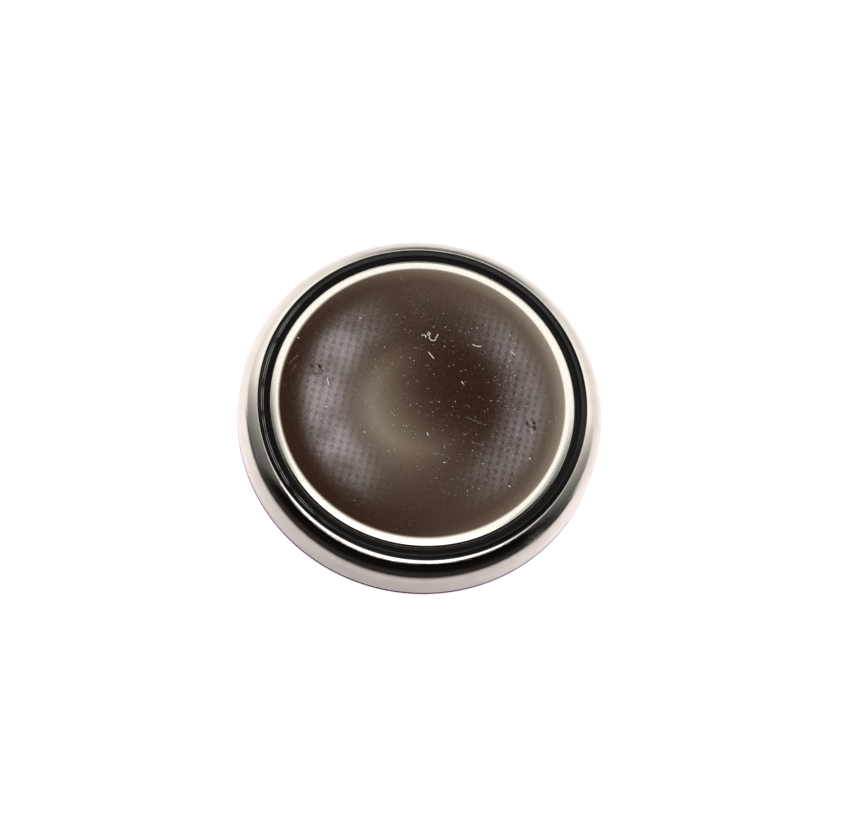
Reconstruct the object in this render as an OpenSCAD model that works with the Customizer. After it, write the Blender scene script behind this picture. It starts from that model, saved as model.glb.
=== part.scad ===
// Lithium manganese dioxide coin cell, 20 mm across and 3.2 mm thick.
// It lies on its positive can, with the negative cap on top: +Z is the cell's axis
// and the origin is the centre of the can's flat base. Millimetres and degrees.

/* [Cell] */
// Outside diameter of the positive can
cell_d = 20; // [16:0.1:24.5]
// Overall height, from the can's base to the cap's face
cell_h = 3.2; // [2.6:0.1:5.4]

/* [Positive can] */
// Thickness of the can's sheet
can_t = 0.25; // [0.2:0.01:0.3]
// Inside bend radius between the can's base and its wall
can_bend = 0.05; // [0.05:0.05:0.5]
// Outside radius of the crimped shoulder
crimp_r = 1.65; // [1.5:0.05:1.8]
// Angle that the crimped shoulder turns through, up to its sheared lip
crimp_turn = 66; // [62:1:68]
// Depth of the lip's crest below the cap's face
lip_drop = 0.25; // [0.15:0.05:0.4]

/* [Negative cap] */
// Thickness of the cap's sheet
cap_t = 0.25; // [0.2:0.01:0.3]
// Radial distance from the can's outside to the cap's wall
cap_inset = 1.625; // [1.55:0.025:1.8]
// Outside radius of the soft roll at the edge of the flat face
rim_r = 1.3; // [0.8:0.05:1.6]
// Angle that the soft roll turns down before the corner
rim_turn = 22; // [10:1:30]
// Inside bend radius of the cap's corner
cap_bend = 0.05; // [0.02:0.01:0.15]
// Outside radius of the hollow between the cap's wall and its step
step_hollow = 0.2; // [0.1:0.02:0.26]

/* [Gasket] */
// Thickness of the gasket between the can's wall and the cap's skirt
gasket_t = 0.4; // [0.3:0.01:0.5]
// Thickness of the gasket's foot under the cap's skirt
foot_t = 0.35; // [0.2:0.05:0.6]
// Thickness of the gasket's inner lip, inside the cap's skirt
inner_lip_t = 0.35; // [0.2:0.05:0.6]
// Depth of the inner lip's top below the end of the can's straight wall
inner_lip_drop = 0.25; // [0.1:0.05:0.6]
// Depth of the gasket's open top below the lip's crest
gasket_recess = 0.15; // [0.1:0.01:0.2]
// Radius of the bead that the crimp squeezes up
bead_r = 0.18; // [0.1:0.01:0.2]
// Height of the bead's crest above the gasket's open top
bead_rise = 0.06; // [0.04:0.01:0.1]
// Width of the groove between the bead and the can's lip
bead_groove = 0.04; // [0.02:0.01:0.1]

/* [Electrodes and separator] */
// Thickness of the lithium disc
lithium_t = 0.6; // [0.4:0.05:0.8]
// Gap between the lithium disc's edge and the start of the separator's bend
lithium_gap = 0.05; // [0.05:0.05:1]
// Thickness of the separator felt
separator_t = 0.15; // [0.05:0.01:0.25]
// Inside bend radius between the separator's floor and its turned-up rim
separator_bend = 0.1; // [0.05:0.05:0.3]
// Depth of the separator's edge below the lithium disc's top
separator_drop = 0.25; // [0.05:0.05:0.3]
// Gap between the separator's rim and the cap's wall
separator_gap = 0.1; // [0.02:0.01:0.3]
// Gap between the cathode pellet and the gasket's inner lip
pellet_gap = 0.75; // [0.1:0.05:1.5]
// Chamfer on the pellet's two edges
pellet_chamfer = 0.15; // [0.05:0.05:0.4]

/* [Collector meshes] */
// Thickness of each collector mesh, over both of its layers of wire
mesh_t = 0.15; // [0.08:0.01:0.25]
// Distance from one wire to the next
mesh_pitch = 1.1; // [1:0.1:2]
// Width of a flattened wire
mesh_wire = 0.4; // [0.1:0.05:0.6]
// Distance from the edge of the lithium disc in to the edge of a mesh
mesh_inset = 1.1; // [0.2:0.1:3]

/* [Hidden] */
$fn = 96;
arc_step = 6;   // degrees of each straight step along a rounded stretch of a section

// Positive can: the base's bend and the crimped shoulder, each by its centre
cell_r = cell_d / 2;
base_r = can_bend + can_t;
base_c = [cell_r - base_r, base_r];
crest_z = cell_h - lip_drop;
crimp_c = [cell_r - crimp_r, crest_z - crimp_r * sin(crimp_turn)];
can_in_r = cell_r - can_t;

// Negative cap: the face's roll, the corner, the wall, the hollow, the step and the skirt
cap_r = cell_r - cap_inset;
cap_in_r = cap_r - cap_t;
corner_r = cap_bend + cap_t;
corner_c = [cap_r - corner_r, cell_h - rim_r + (rim_r - corner_r) * cos(rim_turn)];
rim_c = [corner_c[0] - (rim_r - corner_r) * sin(rim_turn), cell_h - rim_r];
step_r = crimp_r - can_t - gasket_t;
hollow_x = cap_r + step_hollow - crimp_c[0];
hollow_angle = acos(hollow_x / (step_r + step_hollow));
hollow_c = polar(crimp_c, step_r + step_hollow, hollow_angle);
skirt_r = can_in_r - gasket_t;
skirt_in_r = skirt_r - cap_t;
skirt_z = can_t + foot_t;

// Gasket: its open top, its bead and its inner lip
open_top_z = crest_z - gasket_recess;
top_edge = polar(crimp_c, (open_top_z - crimp_c[1]) / sin(crimp_turn), crimp_turn);
bead_sink = bead_r - bead_rise;
bead_angle = asin(bead_sink / bead_r);
bead_c = [top_edge[0] - bead_groove - bead_r * cos(bead_angle), open_top_z - bead_sink];
inner_lip_r = skirt_in_r - inner_lip_t;
inner_lip_z = crimp_c[1] - inner_lip_drop;

// The stack, from the cap's inside down to the can's base: the pellet takes what is left
lithium_z = cell_h - cap_t - mesh_t - lithium_t;
separator_z = lithium_z - separator_t;
pellet_z = can_t + mesh_t;
separator_r = cap_in_r - separator_gap;
separator_c = [separator_r - separator_t - separator_bend, lithium_z + separator_bend];
separator_edge_z = lithium_z + lithium_t - separator_drop;
lithium_r = separator_c[0] - lithium_gap;
pellet_r = inner_lip_r - pellet_gap;
mesh_r = lithium_r - mesh_inset;

// The point at a distance and an angle from a centre
function polar(c, r, angle) = c + r * [cos(angle), sin(angle)];

// The points of an arc about c, from one angle to another, both ends included
function arc(c, r, from, to) =
    let (steps = max(1, round(abs(to - from) / arc_step)))
    [for (i = [0:steps]) polar(c, r, from + (to - from) * i / steps)];

// The can's face that lies "inset" below its outside, from the base's bend up to the lip
function can_face(inset) = concat(
    arc(base_c, base_r - inset, -90, 0),
    arc(crimp_c, crimp_r - inset, 0, crimp_turn));

// The cap's hollow, step and skirt, from the bottom of its wall down, "inset" below the outside
function cap_step(inset) = concat(
    arc(hollow_c, step_hollow + inset, 180, 180 + hollow_angle),
    arc(crimp_c, step_r - inset, hollow_angle, 0),
    [[skirt_r - inset, skirt_z]]);

// The cap's whole face, from the axis out and down to the skirt's end
function cap_face(inset) = concat(
    [[0, cell_h - inset]],
    arc(rim_c, rim_r - inset, 90, 90 - rim_turn),
    arc(corner_c, corner_r - inset, 90 - rim_turn, 0),
    cap_step(inset));

// The separator's face, from the axis out and up to the rim's edge, "inset" inside the outside
function separator_face(inset) = concat(
    [[0, separator_z + inset]],
    arc(separator_c, separator_bend + separator_t - inset, -90, 0),
    [[separator_r - inset, separator_edge_z]]);

function reversed(points) = [for (i = [len(points) - 1:-1:0]) points[i]];

// A solid of revolution about the cell's axis, from its half section
module turned(section) rotate_extrude() polygon(section);

// The stainless cup, drawn from sheet and crimped over the gasket
module positive_can() color("#c9c4ba")
    turned(concat([[0, 0]], can_face(0), reversed(can_face(can_t)), [[0, can_t]]));

// The stainless lid, drawn with a step and a skirt that the gasket grips
module negative_cap() color("#4a3b30")
    turned(concat(cap_face(0), reversed(cap_face(cap_t))));

// The plastic seal: it wraps the cap's skirt and fills the crimp, up to the open ring
module gasket() color("#1c1b1a")
    turned(concat(
        [[inner_lip_r, can_t]],
        can_face(can_t),
        [top_edge],
        arc(bead_c, bead_r, bead_angle, 180 - bead_angle),
        [[cap_r, open_top_z]],
        cap_step(0),
        [[skirt_in_r, skirt_z], [skirt_in_r, inner_lip_z], [inner_lip_r, inner_lip_z]]));

// A disc of mesh, rolled flat: one layer of wires along Y, and one along X on top of it
module wire_mesh() {
    wires = floor(mesh_r / mesh_pitch - 0.5);
    offsets = [for (i = [-wires - 1:wires]) (i + 0.5) * mesh_pitch];
    intersection() {
        cylinder(r = mesh_r, h = mesh_t);
        union() {
            for (x = offsets) translate([x - mesh_wire / 2, -mesh_r, 0])
                cube([mesh_wire, 2 * mesh_r, mesh_t / 2]);
            for (y = offsets) translate([-mesh_r, y - mesh_wire / 2, mesh_t / 2])
                cube([2 * mesh_r, mesh_wire, mesh_t / 2]);
        }
    }
}

// The mesh that is spot-welded inside the cap and holds the lithium
module anode_mesh() color("#9a978f") translate([0, 0, lithium_z + lithium_t]) wire_mesh();

// The mesh under the cathode, on the can's base
module cathode_mesh() color("#9a978f") translate([0, 0, can_t]) wire_mesh();

// The disc punched from lithium sheet
module lithium_disc() color("#b8b9bc")
    translate([0, 0, lithium_z]) cylinder(r = lithium_r, h = lithium_t);

// The dish of polypropylene felt, whose rim is turned up round the lithium
module separator() color("#ecebe6")
    turned(concat(separator_face(0), reversed(separator_face(separator_t))));

// The pressed pellet of manganese dioxide and carbon
module cathode_pellet() color("#26262a") turned([
    [0, pellet_z],
    [pellet_r - pellet_chamfer, pellet_z],
    [pellet_r, pellet_z + pellet_chamfer],
    [pellet_r, separator_z - pellet_chamfer],
    [pellet_r - pellet_chamfer, separator_z],
    [0, separator_z]]);

positive_can();
negative_cap();
gasket();
anode_mesh();
lithium_disc();
separator();
cathode_pellet();
cathode_mesh();
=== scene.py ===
"""The looks of a lithium coin cell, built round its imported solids.

The crimped can, the stepped cap and the gasket are turned again here from the solids'
own sections, with finer steps, and they stand for their solids. The sealed pieces inside
keep their solids and get their finishes. Lengths are in metres.
"""

import math

import bmesh
import bpy
from mathutils import Matrix, Vector


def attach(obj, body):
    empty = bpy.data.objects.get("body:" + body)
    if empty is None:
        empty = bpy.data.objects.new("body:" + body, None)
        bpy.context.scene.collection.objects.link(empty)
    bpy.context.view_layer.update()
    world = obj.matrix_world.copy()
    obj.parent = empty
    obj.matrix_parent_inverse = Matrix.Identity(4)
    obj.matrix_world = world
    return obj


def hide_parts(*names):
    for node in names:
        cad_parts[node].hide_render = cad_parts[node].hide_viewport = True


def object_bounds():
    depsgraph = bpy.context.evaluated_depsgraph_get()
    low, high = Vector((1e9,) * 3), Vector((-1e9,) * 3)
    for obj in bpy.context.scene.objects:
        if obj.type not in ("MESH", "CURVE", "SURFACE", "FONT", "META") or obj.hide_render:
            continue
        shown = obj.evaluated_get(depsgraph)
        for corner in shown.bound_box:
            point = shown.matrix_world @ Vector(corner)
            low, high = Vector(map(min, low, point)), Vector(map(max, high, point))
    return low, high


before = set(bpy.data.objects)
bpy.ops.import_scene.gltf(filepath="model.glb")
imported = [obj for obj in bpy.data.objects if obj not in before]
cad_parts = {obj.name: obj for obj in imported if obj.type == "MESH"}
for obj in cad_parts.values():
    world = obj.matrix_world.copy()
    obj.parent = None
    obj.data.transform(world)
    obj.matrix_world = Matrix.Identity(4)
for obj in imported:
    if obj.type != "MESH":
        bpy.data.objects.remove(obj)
CAD_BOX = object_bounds()

bl_info = {
    "name": "Lithium Coin Cell",
    "version": (1, 0, 0),
    "blender": (4, 5, 0),
    "location": "View3D > Sidebar > Coin Cell",
    "description": "Turns the can, the cap and the gasket of a coin cell and sets its finishes",
    "category": "Object",
}

MM = 0.001
BODY = "root"
TURN_STEPS = 320
MERGE_DISTANCE = 1e-7
SHARP_ANGLE = math.radians(50)
LOWEST, HIGHEST = (Vector(corner) for corner in CAD_BOX)


def length(label, millimetres, text):
    """A length that a user may set, given in millimetres and kept in metres."""
    return bpy.props.FloatProperty(
        name=label, description=text, default=millimetres * MM, min=0.0,
        precision=6, subtype="DISTANCE", unit="LENGTH",
    )


def angle(label, degrees, text):
    """An angle that a user may set, given in degrees and kept in radians."""
    return bpy.props.FloatProperty(
        name=label, description=text, default=math.radians(degrees), subtype="ANGLE",
    )


def share(label, value, text, top=1.0):
    """A plain number that a user may set."""
    return bpy.props.FloatProperty(
        name=label, description=text, default=value, min=0.0, max=top,
    )


def colour(label, rgb, text):
    """A colour that a user may set, in linear values."""
    return bpy.props.FloatVectorProperty(
        name=label, description=text, default=rgb, size=3, min=0.0, max=1.0, subtype="COLOR",
    )


class CellSizes(bpy.types.PropertyGroup):
    """The cell's outside sizes, taken from its solids."""

    diameter: length("Diameter", (HIGHEST.x - LOWEST.x) / MM, "Outside diameter of the can")
    height: length("Height", HIGHEST.z / MM, "From the can's base to the cap's face")


class CanSizes(bpy.types.PropertyGroup):
    """The sizes of the positive can."""

    sheet: length("Sheet", 0.25, "Thickness of the can's sheet")
    bend: length("Base bend", 0.05, "Inside bend radius between the base and the wall")
    crimp_radius: length("Crimp radius", 1.65, "Outside radius of the crimped shoulder")
    crimp_turn: angle("Crimp turn", 66, "Angle that the shoulder turns through, up to its lip")
    lip_drop: length("Lip drop", 0.25, "Depth of the lip's crest below the cap's face")
    edge_radius: length("Edge radius", 0.03, "Rounding of the lip's two sheared edges")


class CapSizes(bpy.types.PropertyGroup):
    """The sizes of the negative cap."""

    sheet: length("Sheet", 0.25, "Thickness of the cap's sheet")
    inset: length("Inset", 1.625, "From the can's outside in to the cap's wall")
    rim_radius: length("Rim radius", 1.3, "Outside radius of the soft roll round the face")
    rim_turn: angle("Rim turn", 22, "Angle that the roll turns down before the corner")
    bend: length("Corner bend", 0.05, "Inside bend radius of the corner")
    hollow: length("Hollow", 0.2, "Outside radius of the hollow between the wall and the step")
    dish_radius: length("Dish radius", 6.6, "Where the dished middle meets the flat face")
    dish_edge: length("Dish edge", 84, "Radius of the soft edge of the dish")
    dish_slope: angle("Dish slope", 2.6, "Slope of the dish where its soft edge starts")
    ease_from: length("Ease from", 7.0, "Where the face starts to fall away to the roll")
    ease_slope: angle("Ease slope", 1.5, "Slope of the face where the roll takes over")


class GasketSizes(bpy.types.PropertyGroup):
    """The sizes of the gasket."""

    wall: length("Wall", 0.4, "Thickness between the can's wall and the cap's skirt")
    foot: length("Foot", 0.35, "Thickness of the foot under the skirt")
    inner_lip: length("Inner lip", 0.35, "Thickness of the inner lip")
    inner_lip_drop: length("Inner lip drop", 0.25, "Inner lip's top below the straight wall's end")
    recess: length("Recess", 0.15, "Depth of the open top below the lip's crest")
    bead_radius: length("Bead radius", 0.06, "Radius of the crest that the crimp squeezes up")
    bead_rise: length("Bead rise", 0.14, "Height of the bead above the open top")
    bead_slope: angle("Bead slope", 34, "Slope of the bead's outer side, down to the lip")


class SteelFinish(bpy.types.PropertyGroup):
    """The plated steel of the can and the cap."""

    colour: colour("Steel", (0.735, 0.690, 0.615), "Nickel plating")
    haze: colour("Haze", (0.70, 0.68, 0.70), "Plating where the mesh prints through")
    can_roughness: share("Can roughness", 0.13, "Roughness of the can's drawn steel")
    cap_roughness: share("Cap roughness", 0.06, "Roughness of the cap's face")
    print_roughness: share("Print roughness", 0.17, "Roughness where the mesh prints through")
    rubbed_roughness: share("Rubbed roughness", 0.23, "Roughness of the print's rubbed side")
    dust: colour("Dust", (0.88, 0.85, 0.80), "Dust and the lint on the cap")


class GasketFinish(bpy.types.PropertyGroup):
    """The moulded plastic of the gasket."""

    colour: colour("Plastic", (0.0022, 0.0020, 0.0020), "Black polypropylene")
    # Painted highlight: the pale colour of two rings on one side of the gasket, where its bead
    # catches the light
    painted_highlight: colour("Scuffed", (0.32, 0.31, 0.30), "Plastic that the crimp has rubbed pale")
    roughness: share("Roughness", 0.20, "Roughness of the moulded face")


class InnerFinish(bpy.types.PropertyGroup):
    """The sealed pieces."""

    mesh: colour("Mesh", (0.56, 0.54, 0.50), "Stainless wire")
    lithium: colour("Lithium", (0.62, 0.63, 0.66), "Fresh lithium")
    felt: colour("Felt", (0.80, 0.79, 0.76), "Polypropylene felt")
    cathode: colour("Cathode", (0.018, 0.018, 0.020), "Manganese dioxide and carbon")


class StageSettings(bpy.types.PropertyGroup):
    """The floor, the light and the camera."""

    floor: colour("Floor", (0.86, 0.83, 0.86), "Paper under the cell")
    light: share("Light", 1.05, "Brightness of the studio's light at the sides", 4.0)
    overhead: share("Overhead light", 1.45, "Brightness of the studio's light overhead", 4.0)
    dark: colour("Dark gap", (0.038, 0.017, 0.010), "What the gap in the light shows")
    elevation: angle("Camera elevation", 69.3, "Height of the camera above the floor's plane")
    roll: angle("Camera roll", 13.49, "Turn of the camera about its own axis")
    distance: length("Camera distance", 200, "From the camera to the middle of the base")
    lens: share("Lens", 152.7, "Focal length in millimetres, on a sensor 36 wide", 500.0)
    shift_x: share("Shift across", 0.0101, "Lens shift across, in widths of the picture")
    shift_y: share("Shift up", 0.0062, "Lens shift upwards, in widths of the picture")


class CoinCellSettings(bpy.types.PropertyGroup):
    """Every size and finish of the cell, by its piece."""

    cell: bpy.props.PointerProperty(type=CellSizes)
    can: bpy.props.PointerProperty(type=CanSizes)
    cap: bpy.props.PointerProperty(type=CapSizes)
    gasket: bpy.props.PointerProperty(type=GasketSizes)
    steel: bpy.props.PointerProperty(type=SteelFinish)
    plastic: bpy.props.PointerProperty(type=GasketFinish)
    inner: bpy.props.PointerProperty(type=InnerFinish)
    stage: bpy.props.PointerProperty(type=StageSettings)


# Half sections, in the XZ plane. Angles go from +X towards +Z.

def polar(centre, radius, turn):
    """The point at a distance and an angle from a centre."""
    return centre + radius * Vector((math.cos(turn), 0.0, math.sin(turn)))


def flat(x, z):
    """A point of a section."""
    return Vector((x, 0.0, z))


class Section:
    """The centres and radii that the three turned pieces share, as their solids have them."""

    def __init__(self, settings):
        cell, can, cap, gasket = settings.cell, settings.can, settings.cap, settings.gasket
        self.radius = cell.diameter / 2
        self.height = cell.height
        self.can_in = self.radius - can.sheet
        self.base_radius = can.bend + can.sheet
        self.base = flat(self.radius - self.base_radius, self.base_radius)
        self.crest = self.height - can.lip_drop
        self.crimp = flat(
            self.radius - can.crimp_radius,
            self.crest - can.crimp_radius * math.sin(can.crimp_turn),
        )
        self.cap_radius = self.radius - cap.inset
        self.corner_radius = cap.bend + cap.sheet
        roll_less = cap.rim_radius - self.corner_radius
        self.corner = flat(
            self.cap_radius - self.corner_radius,
            self.height - cap.rim_radius + roll_less * math.cos(cap.rim_turn),
        )
        self.rim = flat(
            self.corner.x - roll_less * math.sin(cap.rim_turn), self.height - cap.rim_radius
        )
        self.step_radius = can.crimp_radius - can.sheet - gasket.wall
        reach = self.step_radius + cap.hollow
        self.hollow_turn = math.acos((self.cap_radius + cap.hollow - self.crimp.x) / reach)
        self.hollow = polar(self.crimp, reach, self.hollow_turn)
        self.skirt = self.can_in - gasket.wall
        self.skirt_in = self.skirt - cap.sheet
        self.skirt_foot = can.sheet + gasket.foot
        self.open_top = self.crest - gasket.recess
        self.top_edge = polar(
            self.crimp, (self.open_top - self.crimp.z) / math.sin(can.crimp_turn), can.crimp_turn
        )
        bead_up = gasket.bead_rise - gasket.bead_radius
        bead_reach = gasket.bead_radius + bead_up * math.cos(gasket.bead_slope)
        self.bead = flat(
            self.top_edge.x - bead_reach / math.sin(gasket.bead_slope), self.open_top + bead_up
        )
        self.inner_lip = self.skirt_in - gasket.inner_lip
        self.inner_lip_top = self.crimp.z - gasket.inner_lip_drop


class Pen:
    """Draws a half section with one vertex that is extruded along lines and spun along arcs."""

    def __init__(self, start):
        self.mesh = bmesh.new()
        self.tip = self.mesh.verts.new(start)

    def line(self, end):
        """Goes straight to a point."""
        made = bmesh.ops.extrude_vert_indiv(self.mesh, verts=[self.tip])
        self.tip, before = made["verts"][0], self.tip
        bmesh.ops.translate(self.mesh, verts=[self.tip], vec=end - before.co)

    def arc(self, centre, turn, steps):
        """Turns about a centre, by an angle that is positive from +X towards +Z."""
        made = bmesh.ops.spin(
            self.mesh, geom=[self.tip], cent=centre, axis=(0.0, -1.0, 0.0),
            angle=turn, steps=steps, use_merge=False,
        )
        self.tip = next(v for v in made["geom_last"] if isinstance(v, bmesh.types.BMVert))

    def turned(self, name):
        """Spins the section once round the cell's axis, and gives the piece."""
        bmesh.ops.spin(
            self.mesh, geom=self.mesh.verts[:] + self.mesh.edges[:], cent=(0.0, 0.0, 0.0),
            axis=(0.0, 0.0, 1.0), angle=math.tau, steps=TURN_STEPS, use_merge=True,
        )
        bmesh.ops.remove_doubles(self.mesh, verts=self.mesh.verts[:], dist=MERGE_DISTANCE)
        bmesh.ops.recalc_face_normals(self.mesh, faces=self.mesh.faces[:])
        for face in self.mesh.faces:
            face.smooth = True
        data = bpy.data.meshes.new(name)
        self.mesh.to_mesh(data)
        self.mesh.free()
        data.set_sharp_from_angle(angle=SHARP_ANGLE)
        piece = bpy.data.objects.new(name, data)
        bpy.context.scene.collection.objects.link(piece)
        return piece


def draw_can(settings):
    """The can: base, bend, wall, crimped shoulder and lip, then back along the inside."""
    can, part = settings.can, Section(settings)
    edge = can.edge_radius
    quarter = math.pi / 2
    outer_reach = can.crimp_radius - edge
    inner_reach = can.crimp_radius - can.sheet + edge
    outer_turn = math.asin(edge / outer_reach)
    inner_turn = math.asin(edge / inner_reach)
    pen = Pen(flat(0.0, 0.0))
    # Extra rings beside the bends keep the shading of the base and the wall even
    for x in (0.5 * part.base.x, 0.97 * part.base.x, part.base.x):
        pen.line(flat(x, 0.0))
    pen.arc(part.base, quarter, 12)
    for z in (1.05 * part.base.z, 0.96 * part.crimp.z, part.crimp.z):
        pen.line(flat(part.radius, z))
    pen.arc(part.crimp, can.crimp_turn - outer_turn, 32)
    pen.arc(polar(part.crimp, outer_reach, can.crimp_turn - outer_turn), quarter + outer_turn, 8)
    inner_edge = polar(part.crimp, inner_reach, can.crimp_turn - inner_turn)
    pen.line(polar(inner_edge, edge, can.crimp_turn + quarter))
    pen.arc(inner_edge, quarter - inner_turn, 5)
    pen.arc(part.crimp, inner_turn - can.crimp_turn, 14)
    pen.line(flat(part.can_in, part.base.z))
    pen.arc(part.base, -quarter, 6)
    pen.line(flat(0.0, can.sheet))
    return pen.turned("can")


def draw_cap(settings):
    """The cap: dished middle, flat face, soft roll, corner, wall, hollow, step and skirt."""
    cap, part = settings.cap, Section(settings)
    quarter = math.pi / 2
    sheet, slope = cap.sheet, cap.dish_slope
    flat_from = cap.dish_radius - cap.dish_edge * math.sin(slope)
    dish_bowl = flat_from / math.sin(slope)
    depth = (dish_bowl + cap.dish_edge) * (1 - math.cos(slope))
    ease = part.rim.x + cap.rim_radius * math.sin(cap.ease_slope) - cap.ease_from
    ease_radius = ease / math.sin(cap.ease_slope)
    fall = flat(0.0, (cap.rim_radius - ease_radius) * (1 - math.cos(cap.ease_slope)))
    pen = Pen(flat(0.0, part.height - depth))
    pen.arc(flat(0.0, part.height - depth + dish_bowl), slope, 14)
    pen.arc(flat(cap.dish_radius, part.height - cap.dish_edge), -slope, 16)
    pen.line(flat(cap.ease_from, part.height))
    pen.arc(flat(cap.ease_from, part.height - ease_radius), -cap.ease_slope, 6)
    pen.arc(part.rim + fall, cap.ease_slope - cap.rim_turn, 20)
    pen.arc(part.corner + fall, cap.rim_turn - quarter, 12)
    pen.line(flat(part.cap_radius, part.hollow.z))
    pen.arc(part.hollow, part.hollow_turn, 8)
    pen.arc(part.crimp, -part.hollow_turn, 16)
    pen.line(flat(part.skirt, part.skirt_foot))
    pen.line(flat(part.skirt_in, part.skirt_foot))
    pen.line(flat(part.skirt_in, part.crimp.z))
    pen.arc(part.crimp, part.hollow_turn, 12)
    pen.arc(part.hollow, -part.hollow_turn, 8)
    pen.line(flat(part.cap_radius - sheet, part.corner.z))
    pen.arc(part.corner, quarter - cap.rim_turn, 4)
    pen.arc(part.rim, cap.rim_turn, 6)
    pen.line(flat(0.0, part.height - sheet))
    return pen.turned("cap")


def draw_gasket(settings):
    """The gasket: up its outside in the can, over the open top, and down round the skirt."""
    can, gasket, part = settings.can, settings.gasket, Section(settings)
    quarter = math.pi / 2
    pen = Pen(flat(part.inner_lip, can.sheet))
    pen.line(flat(part.base.x, can.sheet))
    pen.arc(part.base, quarter, 6)
    pen.line(flat(part.can_in, part.crimp.z))
    pen.arc(part.crimp, can.crimp_turn, 14)
    pen.line(part.top_edge)
    pen.line(polar(part.bead, gasket.bead_radius, quarter - gasket.bead_slope))
    pen.arc(part.bead, quarter + gasket.bead_slope, 16)
    pen.line(flat(part.bead.x - gasket.bead_radius, part.open_top))
    pen.line(flat(part.cap_radius, part.open_top))
    pen.line(flat(part.cap_radius, part.hollow.z))
    pen.arc(part.hollow, part.hollow_turn, 8)
    pen.arc(part.crimp, -part.hollow_turn, 12)
    pen.line(flat(part.skirt, part.skirt_foot))
    pen.line(flat(part.skirt_in, part.skirt_foot))
    pen.line(flat(part.skirt_in, part.inner_lip_top))
    pen.line(flat(part.inner_lip, part.inner_lip_top))
    pen.line(flat(part.inner_lip, can.sheet))
    return pen.turned("gasket_ring")


# Finishes

class Finish:
    """A node tree, filled node by node: numbers and tuples set sockets, and sockets link."""

    def __init__(self, owner):
        owner.use_nodes = True
        self.tree = owner.node_tree
        self.tree.nodes.clear()

    def node(self, kind, *inputs, out=0, named=None, **settings):
        """Adds a node, fills its sockets in order and by name, and gives one output."""
        made = self.tree.nodes.new(kind)
        for key, value in settings.items():
            setattr(made, key, value)
        filled = list(zip(made.inputs, inputs)) + [
            (made.inputs[key], value) for key, value in (named or {}).items()
        ]
        for socket, value in filled:
            if isinstance(value, bpy.types.NodeSocket):
                self.tree.links.new(value, socket)
            elif value is not None:
                if socket.type == "RGBA" and len(value) == 3:
                    value = (*value, 1.0)
                socket.default_value = value
        return made.outputs[out] if made.outputs else made

    def math(self, operation, *values, clamp=False):
        return self.node("ShaderNodeMath", *values, operation=operation, use_clamp=clamp)

    def times(self, *values):
        """Numbers or masks, multiplied together one after another."""
        total = values[0]
        for value in values[1:]:
            total = self.math("MULTIPLY", total, value)
        return total

    def level(self, x, y):
        """A place without its height."""
        return self.node("ShaderNodeCombineXYZ", x, y, 0.0)

    def vector(self, operation, *values, out=0):
        return self.node("ShaderNodeVectorMath", *values, operation=operation, out=out)

    def ramp(self, value, low, high, to_low=0.0, to_high=1.0):
        """Goes smoothly from one value to another between two limits."""
        return self.node(
            "ShaderNodeMapRange", value, low, high, to_low, to_high,
            interpolation_type="SMOOTHSTEP",
        )

    def blend(self, factor, first, second):
        """Goes from one number to another."""
        return self.node("ShaderNodeMix", factor, named={"A": first, "B": second})

    def blend_colour(self, factor, first, second):
        """Goes from one colour to another."""
        made = self.tree.nodes.new("ShaderNodeMix")
        made.data_type = "RGBA"
        for index, value in ((0, factor), (6, first), (7, second)):
            socket = made.inputs[index]
            if isinstance(value, bpy.types.NodeSocket):
                self.tree.links.new(value, socket)
            else:
                socket.default_value = (*value, 1.0) if socket.type == "RGBA" else value
        return made.outputs[2]

    def place(self):
        """The place on the object, in millimetres."""
        at = self.node("ShaderNodeTexCoord", out=3)
        scaled = self.tree.nodes.new("ShaderNodeVectorMath")
        scaled.operation = "SCALE"
        scaled.inputs["Scale"].default_value = 1 / MM
        self.tree.links.new(at, scaled.inputs[0])
        return scaled.outputs[0]

    def noise(self, at, scale, detail=2.0, roughness=0.5):
        return self.node(
            "ShaderNodeTexNoise",
            named={"Vector": at, "Scale": scale, "Detail": detail, "Roughness": roughness},
        )

    def split(self, at):
        """The three parts of a place."""
        return self.node("ShaderNodeSeparateXYZ", at).node.outputs[:]

    def ringwise(self, at, along, across):
        """Coordinates that run slowly round the cell's axis and fast across."""
        x, y, z = self.split(at)
        radius = self.vector("LENGTH", self.level(x, y), out=1)
        way_x, way_y, _ = self.split(self.vector("NORMALIZE", self.level(x, y)))
        drawn = self.times(self.math("SUBTRACT", radius, z), across)
        return self.node(
            "ShaderNodeCombineXYZ", self.times(way_x, along), self.times(way_y, along), drawn
        )

    def shift(self, at, x, y, turn=0.0):
        """Moves the pattern's origin to a point in millimetres, and turns it about Z."""
        return self.node(
            "ShaderNodeMapping", at, (x, y, 0.0), (0.0, 0.0, turn), vector_type="TEXTURE"
        )

    def bump(self, height, depth, normal=None):
        """Raises the surface by a height between 0 and 1, times a depth in millimetres."""
        named = {"Height": height, "Distance": depth * MM, "Strength": 1.0}
        if normal is not None:
            named["Normal"] = normal
        return self.node("ShaderNodeBump", named=named)

    def surface(self, base, roughness, normal=None, **values):
        """The shader and the output. What is the same everywhere goes on its own sockets."""
        named = {"Base Color": base, "Roughness": roughness}
        if normal is not None:
            named["Normal"] = normal
        named.update({key.replace("_", " "): value for key, value in values.items()})
        shader = self.node("ShaderNodeBsdfPrincipled", named=named)
        self.node("ShaderNodeOutputMaterial", shader)


def new_finish(name):
    material = bpy.data.materials.new(name)
    return material, Finish(material)


# The marks on the cap's face and the gasket, in millimetres and degrees

PRINT_PITCH = 0.425
PRINT_TURN = 12
# Clusters of four small welds: x, y and turn, and the way from a cluster's middle to a weld
WELDS = ((-6.05, 0.3, 25), (5.95, 0.05, 20))
WELD_OFFSET = (0.18, 0.15, 0.0)
WELD_RADIUS = 0.25
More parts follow.
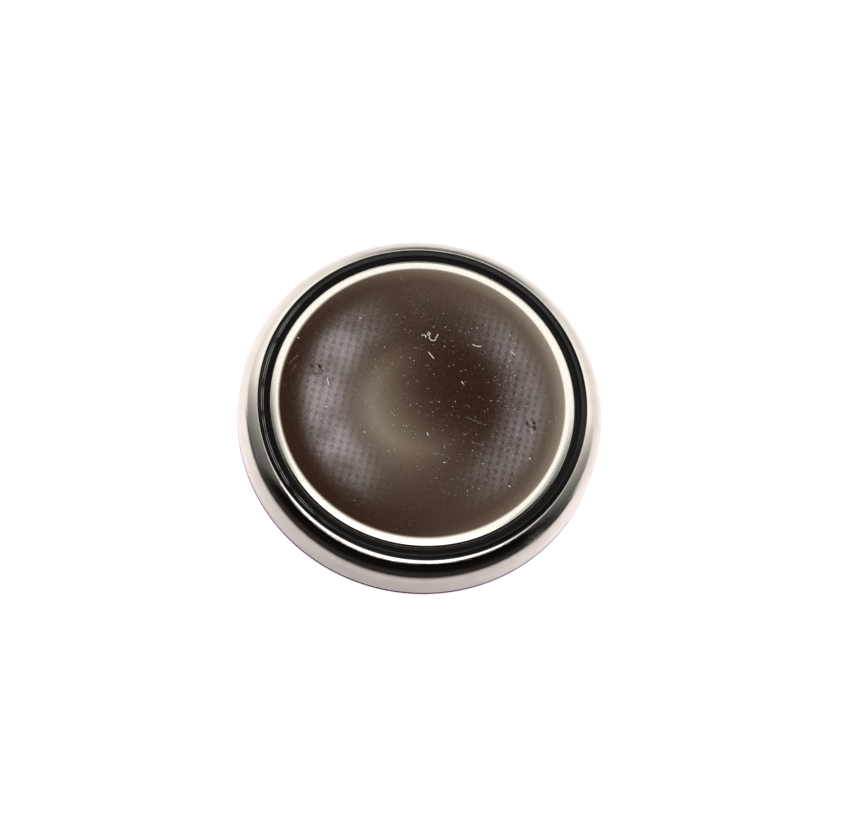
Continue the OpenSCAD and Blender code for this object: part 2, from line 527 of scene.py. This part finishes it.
# Straight marks: x, y, turn and length
BRIGHT_MARKS = (
    (-0.16, 2.75, -38, 0.55),
    (0.65, -1.75, -59, 0.22),
    (4.18, 3.95, -30, 0.36),
    (-5.28, -0.17, -60, 0.44),
    (1.84, 1.62, -40, 0.20),
    (-4.41, 3.88, 0, 0.11),
    (-7.44, 1.90, 0, 0.11),
    (-5.05, -1.63, 10, 0.16),
    (-2.71, -2.52, 0, 0.11),
    (1.89, -3.15, 10, 0.12),
    (6.34, -1.80, 0, 0.12),
    (5.60, -3.63, -20, 0.16),
    (-0.10, 3.90, 72, 0.34),
)
FAINT_MARKS = (
    (2.90, -0.37, -11, 1.10),
    (3.38, -1.66, -3, 0.80),
    (-7.37, 0.65, 58, 0.72),
    (-7.25, 0.15, 66, 0.50),
    (-2.70, 6.68, -49, 0.34),
    (-3.77, -0.27, -16, 0.30),
    (1.30, -2.75, 14, 0.45),
)
# Painted shade on the dark wall of one slash, beside its pale mark: x, y, turn and length
SHADED_MARKS = ((-5.21, -0.14, -60, 0.44),)
# Curled lint: the bend's x and y, its middle's direction, its radius and half its turn
CURLS = (
    (-0.80, 3.69, 80, 0.12, 95),
    (-0.56, 3.93, 0, 0.075, 180),
    (-0.30, 3.80, -100, 0.20, 85),
    (2.12, 4.58, -88, 0.70, 22),
)
# Radii of the two rings of painted highlight on the gasket, and the way to their middle
PAINTED_HIGHLIGHT_RINGS = (8.69, 8.79)
PAINTED_HIGHLIGHT_TURN = 198


def strongest(f, masks):
    """The highest of several masks."""
    total = masks[0]
    for mask in masks[1:]:
        total = f.math("MAXIMUM", total, mask)
    return total


def scratches(f, at, places, width):
    """Thin straight marks, each given by its x, y, turn and length."""
    masks = []
    for x, y, turn, long in places:
        along, across, _ = f.split(f.shift(at, x, y, math.radians(turn)))
        inside = f.ramp(f.math("ABSOLUTE", along), long / 2, long * 0.35)
        thin = f.ramp(f.math("ABSOLUTE", across), width, width * 0.3)
        masks.append(f.times(inside, thin))
    return strongest(f, masks)


def bows(f, at, places, width):
    """Thin bent marks, each given by its bend's x, y, direction, radius and half turn."""
    masks = []
    for x, y, turn, radius, half in places:
        along, across, _ = f.split(f.shift(at, x, y, math.radians(turn)))
        off = f.math("SUBTRACT", f.vector("LENGTH", f.level(along, across), out=1), radius)
        thin = f.ramp(f.math("ABSOLUTE", off), width, width * 0.3)
        swing = f.math("ABSOLUTE", f.math("ARCTAN2", across, along))
        inside = f.ramp(swing, math.radians(half), math.radians(half) * 0.85)
        masks.append(f.times(inside, thin))
    return strongest(f, masks)


def specks(f, at, scale, size, rare):
    """Small dots of uneven strength, in a share of the cells of a random pattern."""
    cells = f.node("ShaderNodeTexVoronoi", named={"Vector": at, "Scale": scale}).node
    pick = f.node("ShaderNodeSeparateColor", cells.outputs["Color"]).node.outputs
    dot = f.ramp(cells.outputs["Distance"], size, size * 0.4)
    return f.times(dot, f.math("GREATER_THAN", pick[0], rare), pick[1])


def can_steel(settings):
    """Drawn and plated steel with a fine satin grain, rubbed dull at one place."""
    steel = settings.steel
    material, f = new_finish("can_steel")
    at = f.place()
    cloud = f.noise(at, 0.9, 3.0)
    grain = f.noise(at, 9.0, 4.0, 0.65)
    drawn = f.noise(f.ringwise(at, 5.0, 9.0), 1.0, 3.0)
    rubbed = f.ramp(f.vector("DISTANCE", at, (7.5, -5.8, 2.5), out=1), 1.1, 0.3)
    rubbed = f.times(rubbed, f.ramp(grain, 0.3, 0.6))
    mixed = f.blend(0.5, f.blend(0.4, cloud, grain), drawn)
    rough = f.math("ADD", steel.can_roughness - 0.05, f.times(0.10, mixed))
    rough = f.math("ADD", rough, f.times(0.16, rubbed))
    # The crimping die burnishes the lip
    rough = f.blend(f.ramp(f.split(at)[2], 2.66, 2.84), rough, 0.05)
    tint = f.blend_colour(
        f.ramp(cloud, 0.35, 0.7), tuple(steel.colour), tuple(0.93 * c for c in steel.colour)
    )
    height = f.math("ADD", f.math("ADD", grain, drawn), f.times(3.0, cloud))
    f.surface(tint, rough, f.bump(height, 0.0024), Metallic=1.0)
    return material


def cap_steel(settings):
    """The cap's face: print-through of the mesh and its welds, scratches, dust and lint."""
    steel = settings.steel
    material, f = new_finish("cap_steel")
    at = f.place()
    x, y, z = f.split(at)
    flat_at = f.level(x, y)
    radius = f.vector("LENGTH", flat_at, out=1)
    face = f.ramp(z, 2.6, 2.9)

    # The mesh prints through in a ring round the dish, most of all at its two sides
    ring = f.times(f.ramp(radius, 3.4, 5.2), f.ramp(radius, 7.3, 5.9))
    turned = f.shift(flat_at, 0.0, 0.0, math.radians(PRINT_TURN))
    side = f.split(f.vector("NORMALIZE", turned))[0]
    lobes = f.ramp(f.math("ABSOLUTE", side), 0.2, 0.95, 0.1, 1.0)
    cloud = f.noise(at, 0.55, 2.0)
    printed = f.times(ring, lobes, f.ramp(cloud, 0.2, 0.6, 0.6, 1.0))
    wires = [f.math("COSINE", f.times(way, math.tau / PRINT_PITCH)) for way in (x, y)]
    knots = f.math("ADD", f.times(1.2, wires[0]), f.times(0.8, wires[1]))
    patchy = f.ramp(f.noise(at, 1.2, 2.0), 0.3, 0.55, 0.4, 1.0)
    knots = f.times(printed, patchy, f.ramp(knots, -0.6, 1.8))

    # Two clusters of four small weld marks
    welds = []
    for weld_x, weld_y, turn in WELDS:
        along, across, _ = f.split(f.shift(at, weld_x, weld_y, math.radians(turn)))
        corner = f.level(f.math("ABSOLUTE", along), f.math("ABSOLUTE", across))
        off = f.vector("DISTANCE", corner, WELD_OFFSET, out=1)
        welds.append(f.ramp(off, WELD_RADIUS, 0.0))
    weld = f.times(strongest(f, welds), f.ramp(f.noise(at, 4.0, 3.0), 0.35, 0.6, 0.1, 1.0))

    # Fine grain and dust all over, longer marks here and there
    grain = f.noise(flat_at, 11.0, 4.0, 0.7)
    fine = f.ramp(grain, 0.38, 0.68)
    dots = strongest(f, [
        f.times(0.55, specks(f, flat_at, 7.0, 0.20, 0.42)),
        f.times(0.9, specks(f, flat_at, 3.4, 0.11, 0.55)),
        specks(f, flat_at, 1.7, 0.065, 0.70),
        specks(f, flat_at, 0.8, 0.042, 0.66),
    ])
    middle = f.vector("DISTANCE", flat_at, (1.5, 0.8, 0.0), out=1)
    dots = f.times(dots, f.ramp(middle, 8.0, 2.5, 0.3, 1.0))
    bright = scratches(f, at, BRIGHT_MARKS, 0.026)
    faint = scratches(f, at, FAINT_MARKS, 0.022)
    curls = bows(f, at, CURLS, 0.026)
    dust = f.times(face, strongest(f, [dots, bright, curls, f.times(0.16, faint)]))
    # Painted shade along the slash's dark wall
    shade = scratches(f, at, SHADED_MARKS, 0.04)

    print_roughness = f.ramp(x, -2.0, 2.0, steel.rubbed_roughness, steel.print_roughness)
    rough = f.blend(printed, steel.cap_roughness, print_roughness)
    rough = f.math("SUBTRACT", rough, f.times(0.045, knots))
    rough = f.math("ADD", rough, f.times(0.07, fine))
    rough = f.math("SUBTRACT", rough, f.times(0.10, weld))
    rough = f.math("MAXIMUM", f.blend(dust, rough, 0.6), 0.04)
    tint = f.blend_colour(printed, tuple(steel.colour), tuple(steel.haze))
    # Darker at the welds and in the grain, and painted shade at the slash
    dark = strongest(f, [f.times(0.5, weld), f.times(0.8, shade), f.times(0.16, fine)])
    tint = f.blend_colour(dark, tint, tuple(0.1 * c for c in steel.colour))
    tint = f.blend_colour(f.times(0.9, dust), tint, tuple(steel.dust))
    metal = f.math("SUBTRACT", 1.0, f.times(0.95, dust))
    normal = f.bump(grain, 0.0011)
    normal = f.bump(knots, -0.0010, normal)
    normal = f.bump(weld, -0.004, normal)
    f.surface(tint, rough, normal, Metallic=metal)
    return material


def gasket_plastic(settings):
    """Black moulded plastic, drawn into uneven ridges where the crimp squeezed it, with two pale
    rings of painted highlight on one side.
    """
    plastic = settings.plastic
    material, f = new_finish("gasket_plastic")
    at = f.place()
    grain = f.noise(at, 14.0, 3.0)
    ridges = f.noise(f.ringwise(at, 9.0, 7.0), 1.0, 3.0, 0.6)
    tint = f.blend_colour(
        ridges, tuple(0.6 * c for c in plastic.colour), tuple(1.8 * c for c in plastic.colour)
    )
    x, y, _ = f.split(at)
    flat_at = f.level(x, y)
    radius = f.vector("LENGTH", flat_at, out=1)
    turned = f.shift(flat_at, 0.0, 0.0, math.radians(PAINTED_HIGHLIGHT_TURN))
    side = f.split(f.vector("NORMALIZE", turned))[0]
    # Painted highlight: two pale rings on one side of the gasket, where its bead catches the light
    painted_highlight = strongest(f, [
        f.ramp(f.math("ABSOLUTE", f.math("SUBTRACT", radius, ring)), 0.024, 0.006)
        for ring in PAINTED_HIGHLIGHT_RINGS
    ])
    patchy = f.ramp(f.noise(at, 1.3, 3.0), 0.3, 0.55)
    painted_highlight = f.times(painted_highlight, f.ramp(side, 0.55, 0.9), patchy)
    tint = f.blend_colour(painted_highlight, tint, tuple(plastic.painted_highlight))
    rough = f.math("ADD", plastic.roughness - 0.08, f.times(0.16, grain))
    height = f.math("ADD", grain, f.times(6.0, ridges))
    f.surface(tint, rough, f.bump(height, 0.0012), Metallic=0.0, Specular_IOR_Level=0.3)
    return material


def mesh_steel(settings):
    """Flattened stainless wire, brushed by the rolls."""
    material, f = new_finish("mesh_steel")
    at = f.place()
    grain = f.noise(at, 6.0, 4.0)
    base = tuple(settings.inner.mesh)
    tint = f.blend_colour(grain, base, tuple(0.8 * c for c in base))
    rough = f.math("ADD", 0.25, f.times(0.2, grain))
    f.surface(tint, rough, f.bump(grain, 0.004), Metallic=1.0)
    return material


def lithium_metal(settings):
    """Soft grey metal with a dull bloom."""
    material, f = new_finish("lithium_metal")
    at = f.place()
    bloom = f.noise(at, 0.8, 5.0, 0.6)
    base = tuple(settings.inner.lithium)
    tint = f.blend_colour(f.ramp(bloom, 0.4, 0.65), base, tuple(0.6 * c for c in base))
    rough = f.math("ADD", 0.35, f.times(0.3, bloom))
    f.surface(tint, rough, f.bump(bloom, 0.01), Metallic=0.9)
    return material


def separator_felt(settings):
    """White non-woven felt."""
    material, f = new_finish("separator_felt")
    at = f.place()
    stretched = f.node("ShaderNodeMapping", at, None, None, (3.0, 12.0, 6.0))
    fibres = f.noise(stretched, 1.5, 6.0, 0.7)
    base = tuple(settings.inner.felt)
    tint = f.blend_colour(fibres, base, tuple(0.85 * c for c in base))
    rough = f.math("ADD", 0.8, f.times(0.15, fibres))
    f.surface(tint, rough, f.bump(fibres, 0.02), Metallic=0.0)
    return material


def cathode_mix(settings):
    """Pressed black powder with a faint sheen of carbon."""
    material, f = new_finish("cathode_mix")
    at = f.place()
    powder = f.noise(at, 12.0, 6.0, 0.7)
    base = tuple(settings.inner.cathode)
    tint = f.blend_colour(powder, base, tuple(2.2 * c for c in base))
    rough = f.math("ADD", 0.65, f.times(0.25, powder))
    f.surface(tint, rough, f.bump(powder, 0.02), Metallic=0.0)
    return material


def dress(piece, node, material):
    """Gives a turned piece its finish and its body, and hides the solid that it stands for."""
    piece.data.materials.append(material)
    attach(piece, BODY)
    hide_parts(node)


# Operators

class COINCELL_OT_can(bpy.types.Operator):
    """Turn the crimped positive can"""

    bl_idname = "coin_cell.can"
    bl_label = "Positive Can"

    def execute(self, context):
        settings = context.scene.coin_cell
        dress(draw_can(settings), "positive_can", can_steel(settings))
        return {"FINISHED"}


class COINCELL_OT_cap(bpy.types.Operator):
    """Turn the stepped negative cap"""

    bl_idname = "coin_cell.cap"
    bl_label = "Negative Cap"

    def execute(self, context):
        settings = context.scene.coin_cell
        dress(draw_cap(settings), "negative_cap", cap_steel(settings))
        return {"FINISHED"}


class COINCELL_OT_gasket(bpy.types.Operator):
    """Turn the gasket"""

    bl_idname = "coin_cell.gasket"
    bl_label = "Gasket"

    def execute(self, context):
        settings = context.scene.coin_cell
        dress(draw_gasket(settings), "gasket", gasket_plastic(settings))
        return {"FINISHED"}


class COINCELL_OT_inner_pieces(bpy.types.Operator):
    """Finish the sealed meshes, lithium, separator and pellet"""

    bl_idname = "coin_cell.inner_pieces"
    bl_label = "Inner Pieces"

    def execute(self, context):
        settings = context.scene.coin_cell
        wire = mesh_steel(settings)
        finishes = {
            "anode_mesh": wire,
            "cathode_mesh": wire,
            "lithium_disc": lithium_metal(settings),
            "separator": separator_felt(settings),
            "cathode_pellet": cathode_mix(settings),
        }
        for node, material in finishes.items():
            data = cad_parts[node].data
            data.materials.clear()
            data.materials.append(material)
        return {"FINISHED"}


class COINCELL_OT_stage(bpy.types.Operator):
    """Set the floor, the light and the camera"""

    bl_idname = "coin_cell.stage"
    bl_label = "Stage"

    def execute(self, context):
        stage = context.scene.coin_cell.stage
        lay_floor(stage)
        light_studio(context.scene, stage)
        set_camera(context.scene, stage)
        context.scene.view_settings.view_transform = "Standard"
        return {"FINISHED"}


def lay_floor(stage):
    """White paper that keeps the cell's shadow, with painted shade under the can's bend and a pale
    pink painted shadow round the cell. The camera and the steel see it as white.
    """
    camera_lift = 0.68
    white = (1.0, 1.0, 1.0)
    # A pale pink for the painted shadow round the cell
    painted_shadow_tint = (0.95, 0.80, 0.90)
    # Painted shade under the can's bend
    painted_contact_shade = (0.06, 0.06, 0.06)
    dark_room = (0.03, 0.026, 0.023)
    made = bmesh.new()
    bmesh.ops.create_grid(made, x_segments=1, y_segments=1, size=1.2)
    data = bpy.data.meshes.new("floor")
    made.to_mesh(data)
    made.free()
    floor = bpy.data.objects.new("floor", data)
    bpy.context.scene.collection.objects.link(floor)
    material, f = new_finish("floor_paper")
    rays = f.node("ShaderNodeLightPath").node
    x, y, _ = f.split(f.place())
    radius = f.vector("LENGTH", f.level(x, y), out=1)
    # The steel sees the paper fade with distance, and end a little way in front of the cell
    fall = f.ramp(f.math("SUBTRACT", radius, y), 40.0, 24.0)
    fall = f.math("MAXIMUM", fall, f.ramp(y, -3.0, 3.0))
    near = f.ramp(y, -12.0, -3.0, 0.05, 1.0)
    beside = f.math("SUBTRACT", f.times(0.38, f.math("ABSOLUTE", x)), f.times(0.08, x))
    distant = f.math("DIVIDE", f.math("MAXIMUM", 5.4, beside), radius)
    steel_lift = f.times(fall, near, distant)
    lift = f.math(
        "ADD",
        f.times(rays.outputs["Is Camera Ray"], camera_lift),
        f.times(rays.outputs["Is Glossy Ray"], steel_lift),
    )
    # Painted shade: the paper is painted dark under the can's bend, where no light gets in, and
    # its glow stops there
    clear = f.ramp(radius, 9.96, 10.02)
    paper = f.node("ShaderNodeBsdfDiffuse", f.blend_colour(clear, painted_contact_shade, tuple(stage.floor)))
    # Painted shadow: the paper's glow is tinted pale pink within a few millimetres of the cell
    glow_with_painted_shadow = f.blend_colour(f.ramp(radius, 10.0, 13.5), painted_shadow_tint, white)
    shaded = f.node("ShaderNodeEmission", glow_with_painted_shadow, f.times(lift, clear))
    both = f.node("ShaderNodeAddShader", paper, shaded)
    beyond = f.node("ShaderNodeBsdfDiffuse", dark_room)
    hidden = f.times(rays.outputs["Is Glossy Ray"], f.math("SUBTRACT", 1.0, fall))
    f.node("ShaderNodeOutputMaterial", f.node("ShaderNodeMixShader", hidden, both, beyond))
    data.materials.append(material)


def light_studio(scene, stage):
    """Light from the far half and from overhead, with a gap in it, and a dark near side."""
    lean = 0.09
    near_rise = 1.4
    gap_centre, gap_radius, gap_edge = (-0.08, 0.298, 0.0), 0.0755, 0.223
    # Red, green and blue fade by powers of their own, so the gap's soft edge is warm
    gap_powers = (1.88, 2.04, 2.17)
    room_tint = (1.0, 0.8, 0.7)
    world = bpy.data.worlds.new("studio")
    scene.world = world
    f = Finish(world)
    x, y, z = f.split(f.node("ShaderNodeTexCoord", out=0))
    leant = f.math("SUBTRACT", y, f.times(lean, x))
    far = f.ramp(leant, -0.38, 0.55)
    above_near = f.ramp(z, 0.70, 0.77)
    bright = f.math("MAXIMUM", far, above_near)
    level = f.ramp(z, 0.1, 0.6, stage.light, stage.overhead)
    # It is dimmer low down in the middle of the far side, and at the two sides
    aside = f.math("ABSOLUTE", x)
    low = f.times(f.ramp(z, 0.46, 0.34), f.ramp(z, -0.15, 0.28, 0.3, 0.88))
    low = f.times(low, f.ramp(aside, 0.55, 0.15), f.ramp(y, 0.5, 0.7))
    beside = f.times(f.ramp(aside, 0.38, 0.56), f.ramp(leant, 0.45, 0.15, 0.0, 0.5))
    beside = f.times(beside, f.ramp(y, -0.35, -0.15))
    dim = f.math("MAXIMUM", low, beside)
    level = f.times(level, f.math("SUBTRACT", 1.0, dim), f.ramp(y, 0.0, -0.3, 1.0, near_rise))
    off_gap = f.vector("DISTANCE", f.level(x, y), gap_centre, out=1)
    past = f.math("DIVIDE", f.math("SUBTRACT", off_gap, gap_radius), gap_edge, clamp=True)
    past = f.math("MAXIMUM", past, f.math("LESS_THAN", z, 0.0))
    shade = f.node("ShaderNodeCombineColor", *(
        f.blend(f.math("POWER", past, power), dark, level)
        for power, dark in zip(gap_powers, stage.dark)
    ))
    # The room on the near side is dark, and paler towards the floor
    dark = f.ramp(z, 0.30, 0.0, 0.004, 0.04)
    room = f.node("ShaderNodeCombineColor", *(f.times(dark, c) for c in room_tint))
    room = f.blend_colour(bright, room, shade)
    lit = f.node("ShaderNodeBackground", room, 1.0)
    white = f.node("ShaderNodeBackground", (1.0, 1.0, 1.0), 1.0)
    camera_ray = f.node("ShaderNodeLightPath", out=0)
    f.node("ShaderNodeOutputWorld", f.node("ShaderNodeMixShader", camera_ray, lit, white))


def set_camera(scene, stage):
    """Looks down on the cell from the near side, a little rolled."""
    right = Vector((1.0, 0.0, 0.0))
    back = Vector((0.0, -math.cos(stage.elevation), math.sin(stage.elevation)))
    up = back.cross(right)
    cos, sin = math.cos(stage.roll), math.sin(stage.roll)
    turn = Matrix((cos * right + sin * up, cos * up - sin * right, back)).transposed()
    data = bpy.data.cameras.new("camera")
    data.sensor_width = 36.0
    data.lens = stage.lens
    data.shift_x = stage.shift_x
    data.shift_y = stage.shift_y
    data.clip_start = 0.01
    data.clip_end = 10.0
    data.dof.use_dof = False
    camera = bpy.data.objects.new("camera", data)
    camera.matrix_world = Matrix.Translation(stage.distance * back) @ turn.to_4x4()
    scene.collection.objects.link(camera)
    scene.camera = camera


class COINCELL_PT_panel(bpy.types.Panel):
    """Lists the cell's pieces and its stage"""

    bl_idname = "COINCELL_PT_panel"
    bl_label = "Coin Cell"
    bl_space_type = "VIEW_3D"
    bl_region_type = "UI"
    bl_category = "Coin Cell"

    def draw(self, context):
        for operator in OPERATORS:
            self.layout.operator(operator.bl_idname)


OPERATORS = (
    COINCELL_OT_can,
    COINCELL_OT_cap,
    COINCELL_OT_gasket,
    COINCELL_OT_inner_pieces,
    COINCELL_OT_stage,
)
CLASSES = (
    CellSizes, CanSizes, CapSizes, GasketSizes, SteelFinish, GasketFinish, InnerFinish,
    StageSettings, CoinCellSettings, *OPERATORS, COINCELL_PT_panel,
)


def register():
    for cls in CLASSES:
        bpy.utils.register_class(cls)
    bpy.types.Scene.coin_cell = bpy.props.PointerProperty(type=CoinCellSettings)


def unregister():
    del bpy.types.Scene.coin_cell
    for cls in reversed(CLASSES):
        bpy.utils.unregister_class(cls)


def main():
    register()
    bpy.ops.coin_cell.can()
    bpy.ops.coin_cell.cap()
    bpy.ops.coin_cell.gasket()
    bpy.ops.coin_cell.inner_pieces()
    bpy.ops.coin_cell.stage()


if __name__ == "__main__":
    main()
